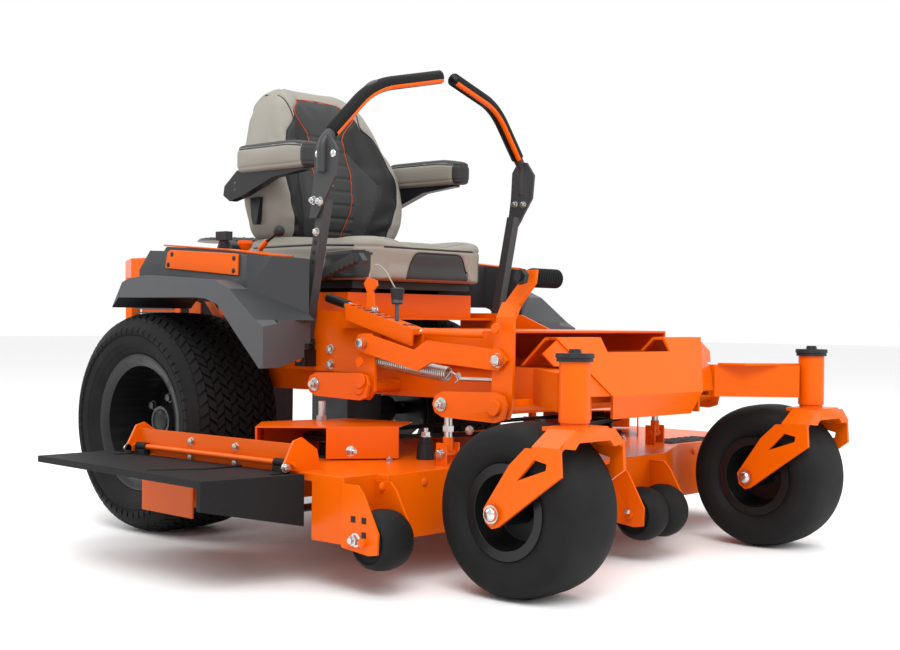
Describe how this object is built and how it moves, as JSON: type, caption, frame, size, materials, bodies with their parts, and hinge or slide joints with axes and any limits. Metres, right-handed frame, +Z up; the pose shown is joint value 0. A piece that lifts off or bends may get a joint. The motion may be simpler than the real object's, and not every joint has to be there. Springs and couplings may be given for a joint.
{
  "type": "zero turn mower",
  "caption": "Riding zero turn mower: tube frame, drive wheels, swivel casters, lifting cutting deck with chute, padded seat and twin control levers.",
  "frame": {"origin": "on the ground under the centre of the machine's footprint", "axes": "+Z up, the machine drives towards -Y, its discharge side faces -X"},
  "size_m": [1.7976, 1.92, 1.1608],
  "materials": {
    "frame_paint": "gloss orange powder coat",
    "black_paint": "satin black powder coat",
    "lever_paint": "satin grey powder coat",
    "fender_plastic": "textured grey moulding",
    "black_plastic": "matt black moulding",
    "rubber": "matt black rubber",
    "tyre": "matt black tyre rubber",
    "rim_paint": "satin black rim paint",
    "zinc": "zinc plated",
    "cast_alloy": "cast aluminium",
    "engine_black": "black engine shroud",
    "seat_vinyl": "grained vinyl",
    "steel": "steel"
  },
  "bodies": {
    "chassis": {"main_frame": "frame_paint", "nose_cover": "frame_paint", "floor_pan": "frame_paint", "seat_platform": "frame_paint", "fenders": "fender_plastic", "console_panels": "frame_paint", "engine_block": "cast_alloy", "engine_shroud": "engine_black", "muffler": "steel", "rear_guard": "frame_paint", "transaxles": "cast_alloy", "height_channel": "frame_paint", "lift_spring": "zinc"},
    "deck": {"deck_shell": "frame_paint", "belt_covers": "frame_paint", "deck_brackets": "frame_paint", "deck_belt": "rubber"},
    "chute": {"discharge_chute": "black_plastic"},
    "front_lift": {"front_lift": "frame_paint", "pedal_peg": "rubber"},
    "rear_lift": {"rear_lift": "frame_paint"},
    "lift_link": {"lift_link": "frame_paint"},
    "height_pin": {"height_pin": "black_plastic"},
    "throttle": {"throttle_lever": "black_plastic"},
    "pto_knob": {"pto_knob": "black_plastic"},
    "ignition_key": {"ignition_key": "black_plastic"},
    "seat": {"seat_base": "black_plastic", "seat_cushion": "seat_vinyl"},
    "backrest": {"seat_back": "seat_vinyl"},
    "rear_wheel_right": {"rear_tyre_right": "tyre", "rear_rim_right": "rim_paint"},
    "caster_right": {"caster_fork_right": "frame_paint"},
    "caster_wheel_right": {"caster_tyre_right": "tyre", "caster_rim_right": "rim_paint"},
    "lever_yoke_right": {"lever_yoke_right": "black_paint"},
    "control_lever_right": {"lever_post_right": "lever_paint", "lever_tube_right": "lever_paint", "lever_grip_right": "rubber"},
    "armrest_right": {"armrest_arm_right": "black_paint", "armrest_pad_right": "seat_vinyl"},
    "rear_wheel_left": {"rear_tyre_left": "tyre", "rear_rim_left": "rim_paint"},
    "caster_left": {"caster_fork_left": "frame_paint"},
    "caster_wheel_left": {"caster_tyre_left": "tyre", "caster_rim_left": "rim_paint"},
    "lever_yoke_left": {"lever_yoke_left": "black_paint"},
    "control_lever_left": {"lever_post_left": "lever_paint", "lever_tube_left": "lever_paint", "lever_grip_left": "rubber"},
    "armrest_left": {"armrest_arm_left": "black_paint", "armrest_pad_left": "seat_vinyl"},
    "blade_right": {"spindle_right": "steel", "blade_right": "steel"},
    "roller_right": {"roller_right": "black_plastic"},
    "blade_centre": {"spindle_centre": "steel", "blade_centre": "steel"},
    "roller_centre": {"roller_centre": "black_plastic"},
    "blade_left": {"spindle_left": "steel", "blade_left": "steel"},
    "roller_left": {"roller_left": "black_plastic"}
  },
  "joints": [
    {"name": "rear_wheel_spin_right", "type": "hinge", "parent": "chassis", "child": "rear_wheel_right", "pos_m": [-0.38525, 0.4, 0.274], "axis": [1, 0, 0], "continuous": true},
    {"name": "caster_swivel_right", "type": "hinge", "parent": "chassis", "child": "caster_right", "pos_m": [-0.41545, -0.9009, 0.4], "axis": [0, 0, 1], "continuous": true},
    {"name": "caster_wheel_spin_right", "type": "hinge", "parent": "caster_right", "child": "caster_wheel_right", "pos_m": [-0.41545, -0.79, 0.17], "axis": [1, 0, 0], "continuous": true},
    {"name": "lever_drive_right", "type": "hinge", "parent": "chassis", "child": "lever_yoke_right", "pos_m": [-0.29975, 0, 0.44], "axis": [1, 0, 0], "range_deg": [-15, 15]},
    {"name": "lever_park_right", "type": "hinge", "parent": "lever_yoke_right", "child": "control_lever_right", "pos_m": [-0.29975, 0, 0.478], "axis": [0, -1, 0], "range_deg": [0, 8.5]},
    {"name": "armrest_fold_right", "type": "hinge", "parent": "backrest", "child": "armrest_right", "pos_m": [-0.23075, 0.38, 0.868], "axis": [-1, 0, 0], "range_deg": [0, 95]},
    {"name": "rear_wheel_spin_left", "type": "hinge", "parent": "chassis", "child": "rear_wheel_left", "pos_m": [0.47175, 0.4, 0.274], "axis": [1, 0, 0], "continuous": true},
    {"name": "caster_swivel_left", "type": "hinge", "parent": "chassis", "child": "caster_left", "pos_m": [0.50195, -0.9009, 0.4], "axis": [0, 0, 1], "continuous": true},
    {"name": "caster_wheel_spin_left", "type": "hinge", "parent": "caster_left", "child": "caster_wheel_left", "pos_m": [0.50195, -0.79, 0.17], "axis": [1, 0, 0], "continuous": true},
    {"name": "lever_drive_left", "type": "hinge", "parent": "chassis", "child": "lever_yoke_left", "pos_m": [0.38625, 0, 0.44], "axis": [1, 0, 0], "range_deg": [-15, 15]},
    {"name": "lever_park_left", "type": "hinge", "parent": "lever_yoke_left", "child": "control_lever_left", "pos_m": [0.38625, 0, 0.478], "axis": [0, 1, 0], "range_deg": [0, 8.5]},
    {"name": "armrest_fold_left", "type": "hinge", "parent": "backrest", "child": "armrest_left", "pos_m": [0.31725, 0.38, 0.868], "axis": [-1, 0, 0], "range_deg": [0, 95]},
    {"name": "deck_height", "type": "slide", "parent": "chassis", "child": "deck", "axis": [0, 0, 1], "range_m": [-0.043, 0.051]},
    {"name": "front_lift_swing", "type": "hinge", "parent": "chassis", "child": "front_lift", "pos_m": [-0.35675, -0.656, 0.358], "axis": [1, 0, 0], "range_deg": [-17, 20.1]},
    {"name": "rear_lift_swing", "type": "hinge", "parent": "chassis", "child": "rear_lift", "pos_m": [-0.35675, -0.255, 0.385], "axis": [1, 0, 0], "range_deg": [-17, 20.1], "deforming": ["lift_spring"]},
    {"name": "link_swing", "type": "hinge", "parent": "front_lift", "child": "lift_link", "pos_m": [-0.37675, -0.656, 0.455], "axis": [-1, 0, 0], "range_deg": [-17, 20.1]},
    {"name": "height_pin_pull", "type": "slide", "parent": "chassis", "child": "height_pin", "axis": [0, 0, 1], "range_m": [0, 0.07]},
    {"name": "chute_fold", "type": "hinge", "parent": "deck", "child": "chute", "pos_m": [-0.67275, -0.1, 0.244], "axis": [0, 1, 0], "range_deg": [0, 95]},
    {"name": "blade_spin_centre", "type": "hinge", "parent": "deck", "child": "blade_centre", "pos_m": [0.11325, -0.39, 0.2], "axis": [0, 0, 1], "continuous": true},
    {"name": "blade_spin_right", "type": "hinge", "parent": "deck", "child": "blade_right", "pos_m": [-0.38675, -0.2, 0.2], "axis": [0, 0, 1], "continuous": true},
    {"name": "blade_spin_left", "type": "hinge", "parent": "deck", "child": "blade_left", "pos_m": [0.61325, -0.2, 0.2], "axis": [0, 0, 1], "continuous": true},
    {"name": "roller_spin_right", "type": "hinge", "parent": "deck", "child": "roller_right", "pos_m": [-0.61525, -0.59, 0.109], "axis": [1, 0, 0], "continuous": true},
    {"name": "roller_spin_centre", "type": "hinge", "parent": "deck", "child": "roller_centre", "pos_m": [0.10325, -0.724, 0.109], "axis": [1, 0, 0], "continuous": true},
    {"name": "roller_spin_left", "type": "hinge", "parent": "deck", "child": "roller_left", "pos_m": [0.84175, -0.59, 0.109], "axis": [1, 0, 0], "continuous": true},
    {"name": "seat_slide", "type": "slide", "parent": "chassis", "child": "seat", "axis": [0, 1, 0], "range_m": [-0.06, 0.06]},
    {"name": "backrest_recline", "type": "hinge", "parent": "seat", "child": "backrest", "pos_m": [0.04325, 0.398, 0.74], "axis": [-1, 0, 0], "range_deg": [0, 10]},
    {"name": "throttle_swing", "type": "hinge", "parent": "chassis", "child": "throttle", "pos_m": [-0.32875, 0.145, 0.699], "axis": [-1, 0, 0], "range_deg": [0, 25]},
    {"name": "pto_pull", "type": "slide", "parent": "chassis", "child": "pto_knob", "axis": [0, 0, 1], "range_m": [0, 0.012]},
    {"name": "key_turn", "type": "hinge", "parent": "chassis", "child": "ignition_key", "pos_m": [-0.33675, 0.27, 0.715], "axis": [0, 0, 1], "range_deg": [-90, 0]}
  ],
  "couplings": [
    {"joint": "front_lift_swing", "follows": "deck_height", "rad_per_m": 6.7568},
    {"joint": "rear_lift_swing", "follows": "deck_height", "rad_per_m": 6.7568},
    {"joint": "link_swing", "follows": "deck_height", "rad_per_m": 6.7568},
    {"joint": "blade_spin_right", "follows": "blade_spin_centre", "ratio": 1},
    {"joint": "blade_spin_left", "follows": "blade_spin_centre", "ratio": 1}
  ]
}
